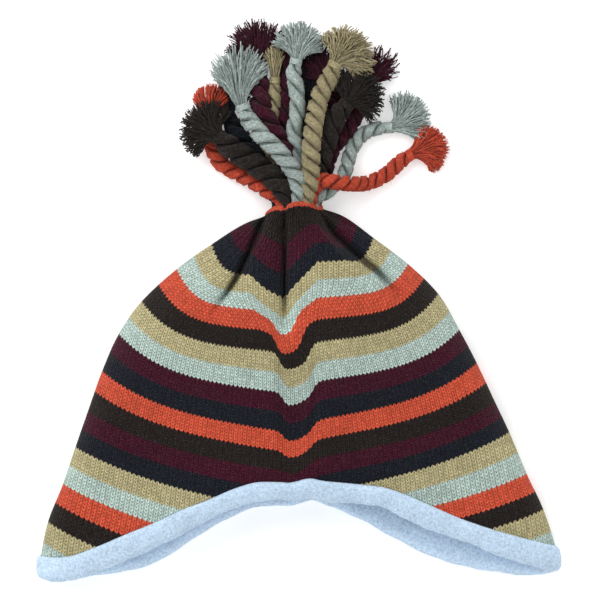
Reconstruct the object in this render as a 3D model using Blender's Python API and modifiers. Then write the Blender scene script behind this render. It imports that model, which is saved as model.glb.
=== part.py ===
"""A knitted jester beanie with ear flaps, lying on its back on a table.

The hat is a striped knit crown lined with fleece, bound at the rim with a fleece band, gathered
at the top into a neck from which a bunch of thick twisted wool cords springs, each ending in a
frayed tuft.  The frame has +X to the wearer's left, +Y from the rim towards the neck, +Z up, and
its origin is on the table under the middle of the hat's body.

Lengths in the tables are millimetres.  A course number counts stripes down from the neck, and a
share runs from -1 at the left fold to +1 at the right fold of the flattened crown.  Left and right
are those of someone who looks down on the hat with its neck pointing away from them.
"""
import math

import bmesh
import bpy
import numpy as np
from mathutils import Matrix

MM = 0.001

COLLECTION = "jester_beanie"

# The middle of the body's outline in the tables' own coordinates
BODY_MIDDLE = (-0.13, 0.57)

# Walls
KNIT_THICK = 2.2
LINING_THICK = 1.6
BINDING_THICK = 1.8
CLEARANCE = 0.35
INNER_LEG_CLEARANCE = 0.55

# The flattened crown: where each course meets the left and right folds, how low it hangs at the
# middle of its left and right halves, and how high the front stands over the table there.
# "straight" is the share of the hang that is spread evenly; "power" shapes the upturn at the fold.
COURSES = (
    # course, left_x, left_y, right_x, right_y, left_dip_y, right_dip_y, straight, power, height
    (1, -20.0, 108.5, 14.0, 108.5, 108.0, 108.5, 0.10, 8.0, 27.0),
    (2, -31.0, 101.5, 25.0, 106.0, 94.5, 99.5, 0.10, 8.0, 31.0),
    (4, -53.0, 88.0, 45.0, 92.0, 68.0, 76.5, 0.10, 9.0, 36.0),
    (6, -74.0, 73.0, 66.0, 76.0, 46.5, 54.5, 0.22, 7.0, 38.5),
    (8, -95.0, 53.5, 84.0, 58.0, 22.0, 28.0, 0.30, 5.0, 39.5),
    (10, -108.5, 34.0, 96.5, 36.5, -2.5, 4.5, 0.42, 4.5, 39.0),
    (12, -118.5, 11.5, 107.0, 16.5, -26.0, -19.0, 0.52, 4.0, 38.0),
    (14, -127.0, -12.5, 118.0, -7.0, -49.5, -41.5, 0.58, 3.5, 36.5),
    (16, -134.5, -34.0, 126.5, -25.0, -73.0, -62.5, 0.60, 3.0, 35.0),
    (18, -142.0, -56.0, 137.0, -50.0, -98.5, -83.0, 0.60, 3.0, 33.0),
    (20, -151.0, -79.0, 147.0, -71.5, -126.5, -104.5, 0.60, 3.0, 32.0),
    (22, -155.5, -103.0, 155.0, -98.0, -155.0, -128.5, 0.60, 3.0, 31.0),
    (24, -155.5, -126.0, 155.0, -120.0, -182.0, -152.0, 0.60, 3.0, 31.0),
)
# The line down the middle of the crown, where the left and right dips join.
MIDLINE = (
    # course, x
    (1, -3.0),
    (4, -5.0),
    (8, -1.2),
    (24, -1.2),
)
MIDLINE_BLEND = 8.0

# The pleat down the front, in which every course drops towards the rim.
PLEAT = (
    # course, x, half_width, drop
    (1, -9.5, 1.2, 5.0),
    (4, -9.0, 1.8, 8.0),
    (6, -8.0, 6.0, 10.0),
    (7, -5.5, 8.0, 11.4),
    (8, -2.5, 9.0, 10.8),
    (10, -0.6, 9.0, 8.4),
    (12, -0.6, 9.0, 6.0),
    (14, -0.6, 8.0, 2.4),
    (15.5, -0.6, 7.0, 0.0),
)
PLEAT_EDGE = 2.6

# Creases pressed into the front where the crown is gathered to the neck.
CREASES = (
    # first_course, last_course, first_x, last_x, depth, half_width
    (0.6, 6.8, -17.0, -48.0, 6.5, 7.0),
    (0.6, 7.5, -8.5, -8.5, 5.5, 4.5),
    (0.6, 7.4, 9.0, 72.0, 6.5, 7.0),
    (6.5, 15.5, -5.0, -0.6, 4.5, 8.5),
    (0.6, 3.4, -24.5, -48.0, 3.0, 4.5),
    (0.6, 3.4, 1.0, 12.0, 3.0, 4.0),
)

# Where the rim cuts the courses: the upper edge of the binding on the front, and its lower edge
# on the front and on the back.
RIM = (
    # share, front_seam, front_hem, back_hem
    (-1.0, 21.70, 22.80, 22.80),
    (-0.9, 21.00, 22.15, 22.15),
    (-0.8, 19.95, 21.30, 21.35),
    (-0.7, 18.85, 20.35, 20.70),
    (-0.6, 17.90, 19.35, 19.95),
    (-0.5, 16.95, 18.35, 18.80),
    (-0.4, 16.20, 17.35, 17.75),
    (-0.3, 15.45, 16.60, 16.90),
    (-0.2, 14.98, 16.08, 16.20),
    (-0.1, 14.78, 15.92, 16.00),
    (0.0, 14.85, 16.00, 16.05),
    (0.1, 15.20, 16.32, 16.55),
    (0.2, 15.62, 16.72, 17.30),
    (0.3, 16.05, 17.15, 18.10),
    (0.4, 16.50, 17.75, 19.15),
    (0.5, 17.20, 18.75, 20.25),
    (0.6, 18.10, 19.70, 21.05),
    (0.7, 19.10, 20.50, 21.65),
    (0.8, 20.15, 21.30, 22.15),
    (0.9, 20.90, 22.05, 22.65),
    (1.0, 21.65, 22.85, 22.85),
)
BACK_BAND_COURSES = 1.12
WALL_SHORT_OF_HEM = 0.40
INNER_LEG_COURSES = 0.65

# Roundness of the flattened crown
FOLD_ROUNDING = 1.2
ARCH_DROP = 0.28
ARCH_POWER = 2.2
RIM_LIFT = 2.3
RIM_LIFT_COURSES = 1.3
CREASE_START = 6.0
CREASE_END = 1.6
TURN_ANGLES = (40.0, 90.0, 140.0)

# The gathered end of the neck
NECK_RISE = 6.5
NECK_POWER = 3.2
NECK_TOP_COURSE = 0.25
LINING_TOP_DIP = 3.5
LINING_TOP_SHARE = 0.45

# Grid sizes
FRONT_STEPS = 34
BACK_STEPS = 18
CROWN_ROWS = 10
LINING_FIRST_ROW = 3
ROW_POWER = 1.35
FRONT_BUNCHING = 0.65
BACK_BUNCHING = 0.90

# Cords.  A root is where the cord enters the neck's end, and its route is the middle of the cord
# from there to where its tuft begins.
ROOT_WIDTH = 5.2
ROOT_LENGTH = 30.0
ROOT_STRAIGHT = 2.0
ROOT_GAP = 0.55
CORD_SPACING = 18.0
CORD_SIDES_RESOLUTION = 2
ROUTE_SAMPLES = 24

# Tufts.  The stations are shares of a tuft's length; the locks stand out from the tuft's side a
# little at its start and more where it has flared, and reach past its end.
TUFT_GAP = 0.35
TUFT_LOCKS = 6
TUFT_BEND = 0.35
TUFT_STATIONS = (0.0, 0.14, 0.36, 0.62, 0.86)
TUFT_FLARED = 0.75
TUFT_NARROWS_FROM = 0.6
TUFT_NARROWS_OVER = 0.3
TUFT_NARROWS_BY = 0.22
LOCK_DEPTH = 0.03
LOCK_DEPTH_FLARED = 0.13
LOCK_REACH = 0.14
TUFT_END_DIP = 0.06

YARNS = {
    "mint": (0.42, 0.52, 0.46),
    "tan": (0.38, 0.31, 0.17),
    "orange": (0.60, 0.09, 0.04),
    "brown": (0.04, 0.03, 0.022),
    "burgundy": (0.085, 0.008, 0.022),
    "navy": (0.012, 0.018, 0.032),
}
FLEECE_COLOUR = (0.46, 0.56, 0.72)
KNIT_COLOUR = (0.16, 0.09, 0.07)

CORDS = (
    # name, yarn, width, root (x, z), route, tuft tip, tuft width, tuft height
    ("navy_left", "navy", 8.6, (-15.2, 6.0),
     ((-20.0, 130.0, 4.6), (-25.0, 141.0, 4.5), (-32.5, 152.5, 4.5),
      (-37.0, 163.0, 4.5)),
     (-41.5, 190.0, 4.6), 13.0, 8.6),
    ("tan_behind", "tan", 8.0, (-9.5, 6.0),
     ((-12.0, 130.0, 4.4), (-17.5, 146.0, 4.2), (-18.0, 160.0, 4.2),
      (-13.4, 174.0, 4.1), (-13.4, 187.0, 4.1)),
     (-14.5, 207.0, 4.4), 12.0, 8.0),
    ("burgundy_mid", "burgundy", 8.4, (-3.8, 6.0),
     ((-4.2, 130.0, 4.6), (-8.0, 146.0, 4.4), (-8.0, 160.0, 4.4),
      (-5.0, 174.0, 4.4), (-4.0, 186.0, 4.4)),
     (-0.5, 207.0, 4.5), 11.0, 8.2),
    ("navy_centre", "navy", 8.4, (1.9, 6.0),
     ((3.4, 130.0, 4.6), (1.6, 146.0, 4.4), (2.8, 158.0, 4.4),
      (5.0, 168.0, 4.4)),
     (6.0, 184.0, 4.5), 10.5, 8.4),
    ("burgundy_upper", "burgundy", 8.4, (7.6, 6.0),
     ((10.7, 130.0, 4.6), (11.5, 146.0, 4.4), (17.0, 160.0, 4.4),
      (20.5, 171.0, 4.4), (17.5, 183.0, 4.4)),
     (9.5, 203.0, 4.6), 14.0, 8.6),
    ("burgundy_right", "burgundy", 9.6, (13.2, 6.0),
     ((18.2, 130.0, 5.0), (22.5, 146.0, 4.9), (31.0, 159.5, 4.9),
      (36.0, 171.0, 4.9), (40.5, 182.0, 5.0)),
     (53.0, 205.0, 5.4), 20.0, 9.6),
    ("orange_left", "orange", 9.6, (-15.2, 13.5),
     ((-23.0, 122.4, 10.8), (-32.0, 127.3, 6.4), (-41.0, 132.0, 5.0),
      (-48.0, 137.5, 5.0), (-52.0, 146.0, 5.0), (-54.5, 155.0, 5.0), (-56.0, 161.0, 5.0)),
     (-56.5, 184.0, 5.2), 18.0, 9.2),
    ("burgundy_left", "burgundy", 10.8, (-8.8, 13.5),
     ((-10.0, 130.0, 13.2), (-11.0, 145.0, 14.4), (-15.0, 159.0, 14.8),
      (-21.5, 171.0, 12.8), (-25.0, 183.0, 8.6), (-27.5, 191.0, 6.2)),
     (-34.0, 220.0, 6.4), 26.0, 10.4),
    ("mint_centre", "mint", 9.4, (-2.4, 13.5),
     ((-1.2, 130.0, 13.0), (0.8, 146.0, 14.2), (-0.6, 157.0, 14.2),
      (-0.5, 168.5, 14.2), (-2.0, 181.0, 14.2), (-4.0, 191.0, 14.2), (-2.5, 198.0, 14.2)),
     (-2.5, 222.0, 14.4), 29.0, 10.0),
    ("brown_right", "brown", 10.4, (4.0, 13.5),
     ((8.4, 130.0, 13.4), (14.0, 146.0, 14.8), (21.5, 162.0, 15.2),
      (28.5, 171.5, 15.6)),
     (52.0, 178.0, 15.8), 25.0, 11.0),
    ("mint_right", "mint", 8.6, (10.4, 13.5),
     ((19.5, 121.2, 11.4), (29.5, 130.4, 7.2), (33.5, 144.5, 4.6),
      (40.5, 154.5, 4.6), (48.0, 158.5, 4.6), (55.0, 159.0, 4.8)),
     (73.5, 173.0, 5.4), 21.0, 10.0),
    ("brown_left", "brown", 11.4, (-12.0, 20.5),
     ((-18.5, 128.5, 19.5), (-28.0, 137.5, 16.8), (-39.0, 145.0, 16.2),
      (-47.0, 150.0, 16.4)),
     (-72.5, 156.0, 16.4), 26.0, 10.5),
    ("mint_left", "mint", 10.2, (-5.4, 20.5),
     ((-4.6, 130.0, 23.0), (-10.0, 143.0, 26.4), (-21.0, 153.0, 24.4),
      (-30.0, 162.5, 17.4), (-34.0, 170.0, 16.4)),
     (-39.5, 206.0, 18.4), 30.0, 11.0),
    ("tan_main", "tan", 11.2, (2.0, 20.5),
     ((4.8, 131.0, 22.8), (8.0, 147.0, 24.6), (9.2, 162.0, 22.0),
      (12.5, 177.0, 17.0), (18.5, 189.0, 15.0), (21.5, 196.0, 15.0)),
     (29.5, 219.5, 15.6), 33.0, 11.5),
    ("orange_right", "orange", 8.8, (9.0, 20.5),
     ((15.5, 122.0, 21.8), (26.0, 123.4, 19.0), (40.5, 124.5, 6.5),
      (52.0, 129.0, 4.8), (61.0, 138.0, 4.8), (67.0, 142.5, 4.8)),
     (88.0, 148.5, 5.6), 25.0, 10.4),
)


def clear_scene():
    """Removes whatever a new file holds."""
    for old in list(bpy.data.objects):
        bpy.data.objects.remove(old, do_unlink=True)


def column(table, index):
    """One named column of a table as an array."""
    return np.array([row[index] for row in table], dtype=float)


def through(table, index, at):
    """A smooth curve through one column of a table: a cubic on each span whose slopes at the
    rows are those between their neighbours."""
    rows = column(table, 0)
    values = column(table, index)
    slopes = np.gradient(values, rows)
    at = np.asarray(at, dtype=float)
    span = np.clip(np.searchsorted(rows, at) - 1, 0, len(rows) - 2)
    width = rows[span + 1] - rows[span]
    t = (at - rows[span]) / width
    start = (2 * t ** 3 - 3 * t ** 2 + 1) * values[span]
    leave = (t ** 3 - 2 * t ** 2 + t) * width * slopes[span]
    end = (3 * t ** 2 - 2 * t ** 3) * values[span + 1]
    arrive = (t ** 3 - t ** 2) * width * slopes[span + 1]
    return start + leave + end + arrive


def straight_through(table, index, at):
    """Straight lines through one column of a table."""
    return np.interp(at, column(table, 0), column(table, index))


def smooth_step(t):
    """0 below 0, 1 above 1 and a soft S between."""
    t = np.clip(t, 0.0, 1.0)
    return t * t * (3.0 - 2.0 * t)


def rim_course(front, share, index_front, index_back):
    """The course at which the rim cuts the front or the back at each share."""
    return np.where(front, straight_through(RIM, index_front, share), straight_through(RIM, index_back, share))


def seam_course(front, share):
    """The course of the binding's upper edge."""
    on_back = straight_through(RIM, 3, share) - BACK_BAND_COURSES
    return np.where(front, straight_through(RIM, 1, share), on_back)


def plan(front, share, course):
    """The place of a point of the crown seen from above: along its course from fold to fold, with
    the hang blended between the left and the right half, and the pleat's drop on the front."""
    left_x, left_y, right_x, right_y, left_dip, right_dip, straight, power = (
        through(COURSES, index, course) for index in range(1, 9))
    middle = straight_through(MIDLINE, 1, course)
    reach = np.abs(share)
    x = np.where(share < 0, middle + share * (middle - left_x), middle + share * (right_x - middle))
    upturn = straight * reach + (1 - straight) * reach ** power
    to_right = 0.5 + 0.5 * np.tanh((x - middle) / MIDLINE_BLEND)
    dip = left_dip * (1 - to_right) + right_dip * to_right
    edge = np.where(share < 0, left_y, right_y)
    y = dip + (edge - dip) * upturn
    pleat_x, half, drop = (straight_through(PLEAT, index, course) for index in (1, 2, 3))
    inside = np.tanh((x - pleat_x + half) / PLEAT_EDGE) - np.tanh((x - pleat_x - half) / PLEAT_EDGE)
    y = y - np.where(front, 0.5 * drop * inside / np.tanh(half / PLEAT_EDGE), 0.0)
    return x, y


def crease_depth(x, course):
    """How far the creases press the front in: each a soft groove that fades along its length."""
    depth = np.zeros_like(x)
    for first, last, first_x, last_x, deep, half in CREASES:
        along = (course - first) / (last - first)
        middle = first_x + (last_x - first_x) * along
        fade = smooth_step(CREASE_START * along) * smooth_step(CREASE_END * (1.0 - along))
        depth = depth + deep * fade * np.exp(-((x - middle) / half) ** 2)
    return depth


def height(front, share, course, x):
    """The height of the crown's outside over the table: a low arch on the front, a flat back with
    rounded folds, and a small lift near the rim so that the binding's underside meets the table."""
    top = through(COURSES, 9, course)
    fold = 0.5 * (1.0 - ARCH_DROP) * top
    reach = np.clip(np.abs(share), 0.0, 1.0)
    left_x, right_x = through(COURSES, 1, course), through(COURSES, 3, course)
    rounding = np.clip(2.0 * FOLD_ROUNDING * fold / (right_x - left_x), 0.0, 1.0)
    into_fold = np.clip((reach - 1.0 + rounding) / rounding, 0.0, 1.0)
    swell = np.sqrt(1.0 - into_fold ** 2)
    arch = fold + (top * (1.0 - ARCH_DROP * reach ** ARCH_POWER) - fold) * swell
    lift = RIM_LIFT * smooth_step((course - seam_course(front, share)) / RIM_LIFT_COURSES + 1.0)
    under = fold - (fold - lift) * swell
    return np.where(front, arch - crease_depth(x, course) * swell, under)


def neck_ring(front, share):
    """The ring of the first course, its middle and the middle's height."""
    first = np.full_like(share, COURSES[0][0])
    x, y = plan(front, share, first)
    z = height(front, share, first, x)
    centre = np.array([0.5 * (x.min() + x.max()), y.mean(), 0.5 * COURSES[0][9]])
    return np.stack([x, y, z], axis=-1), centre


def skin(front, share, course):
    """The outside of the knitted crown.  Past the first course the ring shrinks to the middle of
    the neck as it rises, like the end of a cushion."""
    front, share, course = np.broadcast_arrays(front, share, course)
    held = np.maximum(course, 1.0)
    x, y = plan(front, share, held)
    z = height(front, share, held, x)
    points = np.stack([x, y, z], axis=-1)
    ring, centre = neck_ring(front[0], share[0])
    past = np.clip(1.0 - course, 0.0, 1.0)[..., None]
    shrink = (1.0 - past ** NECK_POWER) ** (1.0 / NECK_POWER)
    capped = centre + (ring - centre) * shrink + np.array([0.0, NECK_RISE, 0.0]) * past
    return np.where(past > 0, capped, points)


def ring_of_shares():
    """The samples round the crown: over the front from fold to fold and back along the back,
    closer together at the folds."""
    def spread(steps, bunching):
        even = np.linspace(-1.0, 1.0, steps + 1)
        return (1 - bunching) * even + bunching * np.sin(0.5 * math.pi * even)
    over = spread(FRONT_STEPS, FRONT_BUNCHING)
    back = spread(BACK_STEPS, BACK_BUNCHING)[::-1]
    share = np.concatenate([over[:-1], back[:-1]])
    front = np.concatenate([np.ones(FRONT_STEPS, bool), np.zeros(BACK_STEPS, bool)])
    return front, share


def rim_levels(front, share):
    """The courses of the rows near the rim: where the crown starts to lift, the top of the
    binding's inner leg, its outer seam, halfway down and the end of the wall."""
    seam = seam_course(front, share)
    end = rim_course(front, share, 2, 3) - WALL_SHORT_OF_HEM
    return np.stack([seam - RIM_LIFT_COURSES, seam - INNER_LEG_COURSES, seam, 0.5 * (seam + end), end])


def wall_grid():
    """The outside of the knit, from the neck down to where the wall ends inside the binding."""
    front, share = ring_of_shares()
    low = rim_levels(front, share)
    fraction = np.linspace(0.0, 1.0, CROWN_ROWS, endpoint=False)[:, None] ** ROW_POWER
    crown = NECK_TOP_COURSE + (low[0] - NECK_TOP_COURSE) * fraction
    return skin(front, share, np.concatenate([crown, low]))


def neck_pole():
    """The middle of the neck's closed end."""
    front, share = ring_of_shares()
    return neck_ring(front, share)[1] + (0.0, NECK_RISE, 0.0)


def grid_mesh(name, grid, pole=None):
    """A mesh over a closed ring grid in millimetres, with a fan to a pole above its first row.  Its
    squares are split the same way in every layer, so that layers on one grid stay parallel."""
    rows, ring = grid.shape[:2]
    vertices = [tuple(point) for point in (grid.reshape(-1, 3) * MM)]
    faces = []
    for row in range(rows - 1):
        for step in range(ring):
            after = (step + 1) % ring
            here, below = row * ring, (row + 1) * ring
            faces.append((here + step, below + step, below + after))
            faces.append((here + step, below + after, here + after))
    if pole is not None:
        vertices.append(tuple(np.asarray(pole) * MM))
        faces += [(rows * ring, step, (step + 1) % ring) for step in range(ring)]
    mesh = bpy.data.meshes.new(name)
    mesh.from_pydata(vertices, [], faces)
    mesh.update()
    return mesh


def normals(grid, pole):
    """The surface's unit normals at the points of a grid, the same ones that its wall follows."""
    mesh = grid_mesh("normals", grid, pole)
    found = np.empty(3 * len(mesh.vertices))
    mesh.vertex_normals.foreach_get("vector", found)
    bpy.data.meshes.remove(mesh)
    return found.reshape(-1, 3)[:grid.shape[0] * grid.shape[1]].reshape(grid.shape)


def finish_mesh(name, mesh, colour):
    """Puts a mesh in the hat's collection with smooth shading and a cloth material."""
    thing = bpy.data.objects.new(name, mesh)
    bpy.data.collections[COLLECTION].objects.link(thing)
    mesh.shade_smooth()
    thing.data.materials.append(cloth_material(name, colour))
    return thing


def cloth_material(name, colour):
    """A dull woollen surface."""
    material = bpy.data.materials.new(name)
    material.use_nodes = True
    shader = material.node_tree.nodes["Principled BSDF"]
    shader.inputs["Base Color"].default_value = (*colour, 1.0)
    shader.inputs["Roughness"].default_value = 0.9
    shader.inputs["Metallic"].default_value = 0.0
    return material


def thicken(thing, thickness, offset):
    """Gives an open surface its wall."""
    wall = thing.modifiers.new("wall", "SOLIDIFY")
    wall.thickness = thickness * MM
    wall.offset = offset


def knit_shell():
    """The striped knit: crown and ear flaps in one wall, closed at the gathered neck."""
    shell = finish_mesh("knit_shell", grid_mesh("knit_shell", wall_grid(), neck_pole()), KNIT_COLOUR)
    thicken(shell, KNIT_THICK, -1.0)


def fleece_lining():
    """The fleece that lines the crown, just inside the knit, closed below the neck."""
    outside = wall_grid()
    inset = outside - normals(outside, neck_pole()) * (KNIT_THICK + CLEARANCE)
    inset = inset[LINING_FIRST_ROW:]
    middle = inset[0].mean(axis=0)
    shrink = np.array([LINING_TOP_SHARE, 1.0, LINING_TOP_SHARE])
    shrunk = middle + (inset[0] - middle) * shrink - (0.0, LINING_TOP_DIP, 0.0)
    inset = np.concatenate([shrunk[None], inset])
    pole = middle - (0.0, LINING_TOP_DIP, 0.0)
    lining = finish_mesh("fleece_lining", grid_mesh("fleece_lining", inset, pole), FLEECE_COLOUR)
    thicken(lining, LINING_THICK, -1.0)


def fleece_binding():
    """The fleece band folded over the rim: an outer leg up to its seam, a rounded turn under the
    hem, and a longer leg up the inside."""
    grid = wall_grid()
    inner_top, seam, halfway, end = grid[-4:]
    out_top, out_seam, out_halfway, out_end = normals(grid, neck_pole())[-4:]
    half_wall = 0.5 * (KNIT_THICK + CLEARANCE + LINING_THICK)
    leg = half_wall + CLEARANCE + 0.5 * BINDING_THICK
    outside = leg - half_wall
    inside = half_wall + half_wall + INNER_LEG_CLEARANCE + 0.5 * BINDING_THICK
    along = np.roll(end, -1, axis=0) - np.roll(end, 1, axis=0)
    below = np.cross(along, out_end)
    below /= np.linalg.norm(below, axis=-1, keepdims=True)
    middle = end - out_end * half_wall + below * CLEARANCE
    turn = [middle + out_end * leg * math.cos(angle) + below * leg * math.sin(angle)
            for angle in np.radians(TURN_ANGLES)]
    path = np.stack([seam + out_seam * outside,
                     halfway + out_halfway * outside,
                     end + out_end * outside,
                     *turn,
                     end - out_end * inside,
                     halfway - out_halfway * inside,
                     seam - out_seam * inside,
                     inner_top - out_top * inside])
    binding = finish_mesh("fleece_binding", grid_mesh("fleece_binding", path), FLEECE_COLOUR)
    thicken(binding, BINDING_THICK, 0.0)


def root_run(root):
    """The first short stretch of a cord, straight out of the neck's end.  That end is a shallow
    cone of triangles from its pole to the wall's first ring."""
    x, z = root
    front, share = ring_of_shares()
    ring = skin(front[None], share[None], np.full((1, len(share)), NECK_TOP_COURSE))[0]
    pole = neck_pole()
    angles = np.arctan2(ring[:, 2] - pole[2], ring[:, 0] - pole[0])
    order = np.argsort(angles)
    reach = np.hypot(ring[:, 0] - pole[0], ring[:, 2] - pole[2])[order]
    here = math.atan2(z - pole[2], x - pole[0])
    out = math.hypot(x - pole[0], z - pole[2]) / np.interp(here, angles[order], reach, period=2 * math.pi)
    y = pole[1] + (ring[0, 1] - pole[1]) * out + ROOT_GAP
    return [(x, y, z), (x, y + ROOT_STRAIGHT, z)]


def smooth_route(root, route):
    """Points along a cord and how far along it they lie: its straight root, then a curve through
    the route's own points, a cubic between each pair whose direction at a point is that between
    its neighbours."""
    entry, leave = np.array(root_run(root))
    points = np.array([leave, *route], dtype=float)
    padded = np.vstack([entry, points, 2 * points[-1] - points[-2]])
    fine = []
    for before, start, end, after in zip(padded, padded[1:], padded[2:], padded[3:]):
        t = np.linspace(0.0, 1.0, ROUTE_SAMPLES, endpoint=False)[:, None]
        fine.append(0.5 * (2 * start + (end - before) * t
                           + (2 * before - 5 * start + 4 * end - after) * t ** 2
                           + (3 * start - before - 3 * end + after) * t ** 3))
    fine = np.vstack([*fine, points[-1]])
    run = ROOT_STRAIGHT + np.concatenate([[0.0], np.cumsum(np.linalg.norm(np.diff(fine, axis=0), axis=1))])
    count = max(3, round(run[-1] / CORD_SPACING) - 1)
    stops = np.concatenate([[ROOT_STRAIGHT, 0.5 * ROOT_LENGTH], np.linspace(ROOT_LENGTH, run[-1], count)])
    sampled = np.stack([np.interp(stops, run, fine[:, axis]) for axis in range(3)], axis=1)
    return np.vstack([entry, sampled]), np.concatenate([[0.0], stops])


def cord(name, yarn, width, root, route):
    """One thick twisted cord as a tube that is thinner where it enters the neck."""
    points, stops = smooth_route(root, route)
    curve = bpy.data.curves.new("cord_" + name, "CURVE")
    curve.dimensions = "3D"
    curve.bevel_depth = 0.5 * width * MM
    curve.bevel_resolution = CORD_SIDES_RESOLUTION
    curve.use_fill_caps = True
    spline = curve.splines.new("POLY")
    spline.points.add(len(points) - 1)
    for place, point, stop in zip(spline.points, points, stops):
        place.co = (*(point * MM), 1.0)
        place.radius = (ROOT_WIDTH + (width - ROOT_WIDTH) * smooth_step(stop / ROOT_LENGTH)) / width
    tube = bpy.data.objects.new("cord_" + name, curve)
    bpy.data.collections[COLLECTION].objects.link(tube)
    tube.data.materials.append(cloth_material("yarn_" + yarn, YARNS[yarn]))
    return points


def tuft(name, yarn, width, start, heading, tip, spread, thick):
    """The frayed end of a cord: locks fused into a head as wide as the cord, which leaves along
    the cord and bends to the tip, each lock standing out from the ones beside it and past them."""
    start, tip = np.array(start, dtype=float), np.array(tip, dtype=float)
    length = np.linalg.norm(tip - start)
    start = start + heading * TUFT_GAP
    bend = start + heading * TUFT_BEND * length
    turns = np.arange(2 * TUFT_LOCKS) * math.pi / TUFT_LOCKS
    lock = np.cos(TUFT_LOCKS * turns)
    rings = []
    for t in TUFT_STATIONS:
        place = (1 - t) ** 2 * start + 2 * t * (1 - t) * bend + t ** 2 * tip
        axis = (1 - t) * (bend - start) + t * (tip - bend)
        axis /= np.linalg.norm(axis)
        side = np.cross(axis, (0.0, 0.0, 1.0))
        side /= np.linalg.norm(side)
        up = np.cross(side, axis)
        flare = smooth_step(t / TUFT_FLARED)
        round_in = 1.0 - TUFT_NARROWS_BY * smooth_step((t - TUFT_NARROWS_FROM) / TUFT_NARROWS_OVER)
        half_width = 0.5 * (width + (spread - width) * flare) * round_in
        half_thick = 0.5 * (width + (thick - width) * flare) * round_in
        proud = 1.0 - (LOCK_DEPTH + LOCK_DEPTH_FLARED * flare) * (1.0 - lock)
        rings.append(place + np.outer(length * LOCK_REACH * t ** 3 * lock, axis)
                     + np.outer(half_width * proud * np.cos(turns), side)
                     + np.outer(half_thick * proud * np.sin(turns), up))
    ring = len(turns)
    vertices = [tuple(point) for point in np.vstack(rings) * MM]
    faces = [(row * ring + step, row * ring + (step + 1) % ring,
              (row + 1) * ring + (step + 1) % ring, (row + 1) * ring + step)
             for row in range(len(rings) - 1) for step in range(ring)]
    vertices += [tuple(start * MM), tuple((place - axis * TUFT_END_DIP * length) * MM)]
    last = (len(rings) - 1) * ring
    faces += [(len(vertices) - 2, (step + 1) % ring, step) for step in range(ring)]
    faces += [(len(vertices) - 1, last + step, last + (step + 1) % ring) for step in range(ring)]
    mesh = bpy.data.meshes.new("tuft_" + name)
    mesh.from_pydata(vertices, [], faces)
    fan = bmesh.new()
    fan.from_mesh(mesh)
    bmesh.ops.recalc_face_normals(fan, faces=fan.faces)
    fan.to_mesh(mesh)
    fan.free()
    finish_mesh("tuft_" + name, mesh, YARNS[yarn])


def main():
    clear_scene()
    bpy.context.scene.collection.children.link(bpy.data.collections.new(COLLECTION))
    knit_shell()
    fleece_lining()
    fleece_binding()
    for name, yarn, width, root, route, tip, spread, thick in CORDS:
        points = cord(name, yarn, width, root, route)
        heading = (points[-1] - points[-2]) / np.linalg.norm(points[-1] - points[-2])
        tuft(name, yarn, width, points[-1], heading, tip, spread, thick)
    to_origin = Matrix.Translation((-BODY_MIDDLE[0] * MM, -BODY_MIDDLE[1] * MM, 0.0))
    for thing in bpy.data.collections[COLLECTION].objects:
        thing.data.transform(to_origin)


main()
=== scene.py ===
"""The looks of the jester beanie: striped stocking-stitch knit, fleece lining and rim band, and the
bunch of twisted wool cords with frayed ends, lying on a pale table and seen from straight above.

Lengths in the tables are millimetres, as in the part's own source.  A course number counts stripes
down from the neck, and a share runs from -1 at the left fold to +1 at the right fold.
"""

import math

import bpy
import numpy as np
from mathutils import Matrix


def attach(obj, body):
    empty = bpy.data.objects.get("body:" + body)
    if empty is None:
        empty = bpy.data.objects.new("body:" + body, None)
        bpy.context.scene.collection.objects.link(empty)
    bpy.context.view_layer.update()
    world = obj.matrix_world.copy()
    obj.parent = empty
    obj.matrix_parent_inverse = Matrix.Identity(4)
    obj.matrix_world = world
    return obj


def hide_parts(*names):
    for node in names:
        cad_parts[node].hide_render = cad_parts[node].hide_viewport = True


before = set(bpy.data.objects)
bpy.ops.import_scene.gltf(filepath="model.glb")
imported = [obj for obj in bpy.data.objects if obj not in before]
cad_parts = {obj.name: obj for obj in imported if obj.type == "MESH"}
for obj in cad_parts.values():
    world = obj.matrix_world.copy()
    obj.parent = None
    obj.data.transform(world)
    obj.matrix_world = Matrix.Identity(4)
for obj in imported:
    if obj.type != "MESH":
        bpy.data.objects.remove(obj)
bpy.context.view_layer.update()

MM = 0.001

# The middle of the body's outline in the tables' coordinates
BODY_MIDDLE = np.array([-0.13, 0.57, 0.0])

# The view: the photo's frame is this wide at the middle of the hat's height
VIEW_WIDTH = 360.0
VIEW_CENTRE = (0.7, 54.3, 15.0)
CAMERA_HEIGHT = 2600.0
SENSOR = 36.0

# Walls
KNIT_THICK = 2.2
LINING_THICK = 1.6
BINDING_THICK = 1.8
CLEARANCE = 0.35
INNER_LEG_CLEARANCE = 0.55

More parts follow.
